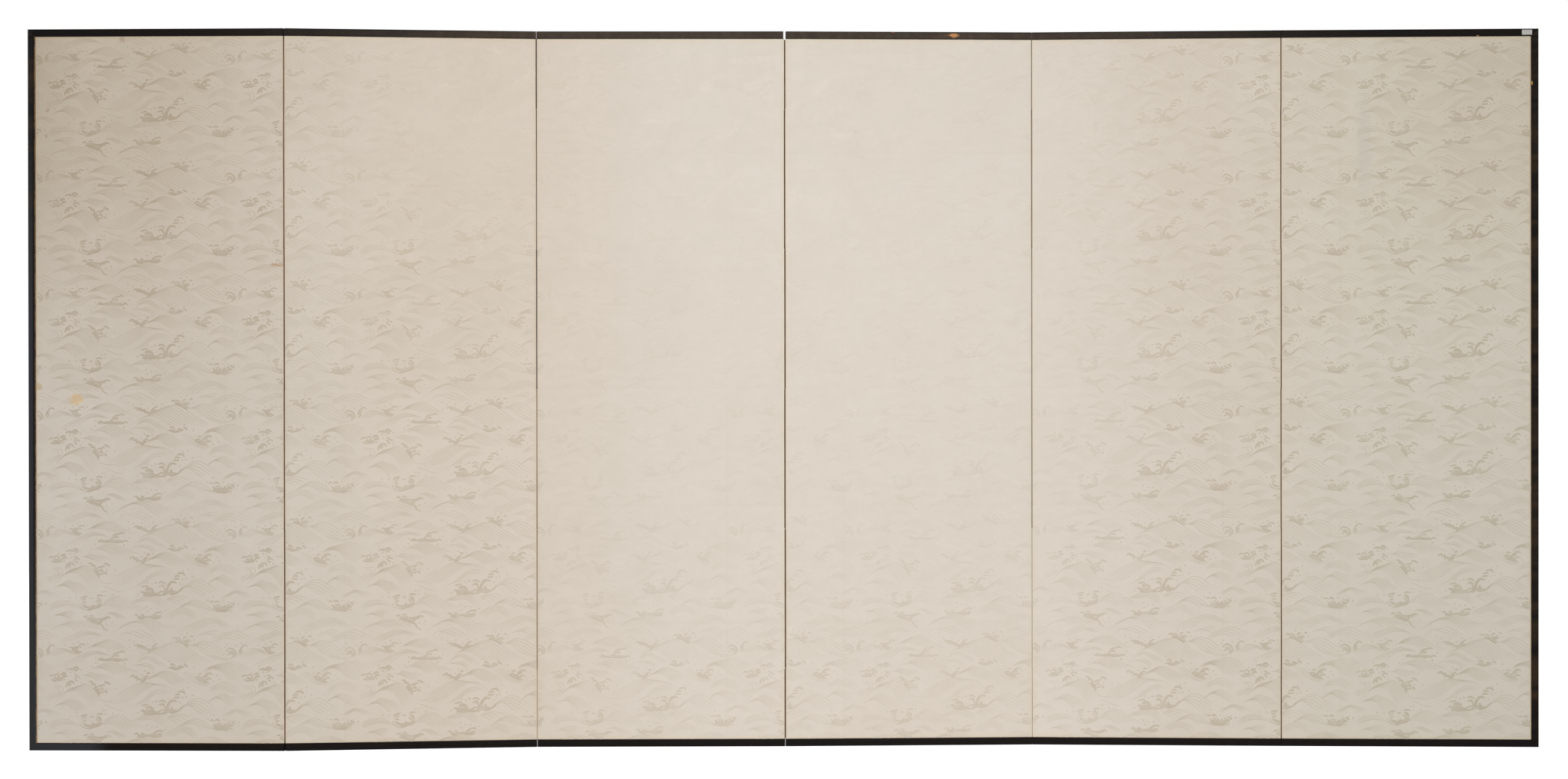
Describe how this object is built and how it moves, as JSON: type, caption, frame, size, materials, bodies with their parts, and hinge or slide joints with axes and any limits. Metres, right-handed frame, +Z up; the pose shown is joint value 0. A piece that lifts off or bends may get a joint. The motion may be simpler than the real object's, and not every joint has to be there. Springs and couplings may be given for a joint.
{
  "type": "folding screen",
  "caption": "Free-standing byobu folding screen: papered panels on paper hinges, wave-printed back, gold front with cloth border, black lacquered rails.",
  "frame": {"origin": "centre of the standing screen's box, on the floor", "axes": "+X along the screen, to the right as seen from its printed back; +Y from the back towards the gold front; +Z up"},
  "size_m": [3.61, 0.1064, 1.72],
  "materials": {
    "cedar": "planed, bare",
    "undercoat_paper": "matt, pasted",
    "back_paper": "matt, block-printed waves, aged",
    "gold_ground": "gold leaf squares, worn satin",
    "brocade": "woven silk, small pattern",
    "hinge_paper": "matt, darkened with age",
    "lacquer": "black lacquer, satin, worn at the edges",
    "bamboo": "bare",
    "label_card": "matt, blank"
  },
  "bodies": {
    "panel_1": {"panel_1_core": "cedar", "panel_1_undercoat": "undercoat_paper", "panel_1_back_paper": "back_paper", "panel_1_front_ground": "gold_ground", "panel_1_border": "brocade", "panel_1_hinge_papers": "hinge_paper", "panel_1_top_rail": "lacquer", "panel_1_bottom_rail": "lacquer", "panel_1_rail_pegs": "bamboo", "left_end_rail": "lacquer"},
    "panel_2": {"panel_2_core": "cedar", "panel_2_undercoat": "undercoat_paper", "panel_2_back_paper": "back_paper", "panel_2_front_ground": "gold_ground", "panel_2_border": "brocade", "panel_2_hinge_papers": "hinge_paper", "panel_2_top_rail": "lacquer", "panel_2_bottom_rail": "lacquer", "panel_2_rail_pegs": "bamboo"},
    "panel_3": {"panel_3_core": "cedar", "panel_3_undercoat": "undercoat_paper", "panel_3_back_paper": "back_paper", "panel_3_front_ground": "gold_ground", "panel_3_border": "brocade", "panel_3_hinge_papers": "hinge_paper", "panel_3_top_rail": "lacquer", "panel_3_bottom_rail": "lacquer", "panel_3_rail_pegs": "bamboo"},
    "panel_4": {"panel_4_core": "cedar", "panel_4_undercoat": "undercoat_paper", "panel_4_back_paper": "back_paper", "panel_4_front_ground": "gold_ground", "panel_4_border": "brocade", "panel_4_hinge_papers": "hinge_paper", "panel_4_top_rail": "lacquer", "panel_4_bottom_rail": "lacquer", "panel_4_rail_pegs": "bamboo"},
    "panel_5": {"panel_5_core": "cedar", "panel_5_undercoat": "undercoat_paper", "panel_5_back_paper": "back_paper", "panel_5_front_ground": "gold_ground", "panel_5_border": "brocade", "panel_5_hinge_papers": "hinge_paper", "panel_5_top_rail": "lacquer", "panel_5_bottom_rail": "lacquer", "panel_5_rail_pegs": "bamboo"},
    "panel_6": {"panel_6_core": "cedar", "panel_6_undercoat": "undercoat_paper", "panel_6_back_paper": "back_paper", "panel_6_front_ground": "gold_ground", "panel_6_border": "brocade", "panel_6_hinge_papers": "hinge_paper", "panel_6_top_rail": "lacquer", "panel_6_bottom_rail": "lacquer", "panel_6_rail_pegs": "bamboo", "right_end_rail": "lacquer", "blank_label": "label_card"}
  },
  "joints": [
    {"name": "fold_1_2", "type": "hinge", "parent": "panel_1", "child": "panel_2", "pos_m": [-1.19231, -0.03295, 0.86], "axis": [0, 0, 1], "range_deg": [-6.6, 173.4]},
    {"name": "fold_2_3", "type": "hinge", "parent": "panel_2", "child": "panel_3", "pos_m": [-0.59669, 0.00381, 0.86], "axis": [0, 0, -1], "range_deg": [-4.9, 175.1]},
    {"name": "fold_3_4", "type": "hinge", "parent": "panel_3", "child": "panel_4", "pos_m": [-0.00054, 0.03055, 0.86], "axis": [0, 0, 1], "range_deg": [-1.6, 178.4]},
    {"name": "fold_4_5", "type": "hinge", "parent": "panel_4", "child": "panel_5", "pos_m": [0.59621, 0.03296, 0.86], "axis": [0, 0, -1], "range_deg": [-4.7, 175.3]},
    {"name": "fold_5_6", "type": "hinge", "parent": "panel_5", "child": "panel_6", "pos_m": [1.19293, 0.02743, 0.86], "axis": [0, 0, 1], "range_deg": [-0.6, 179.4]}
  ]
}
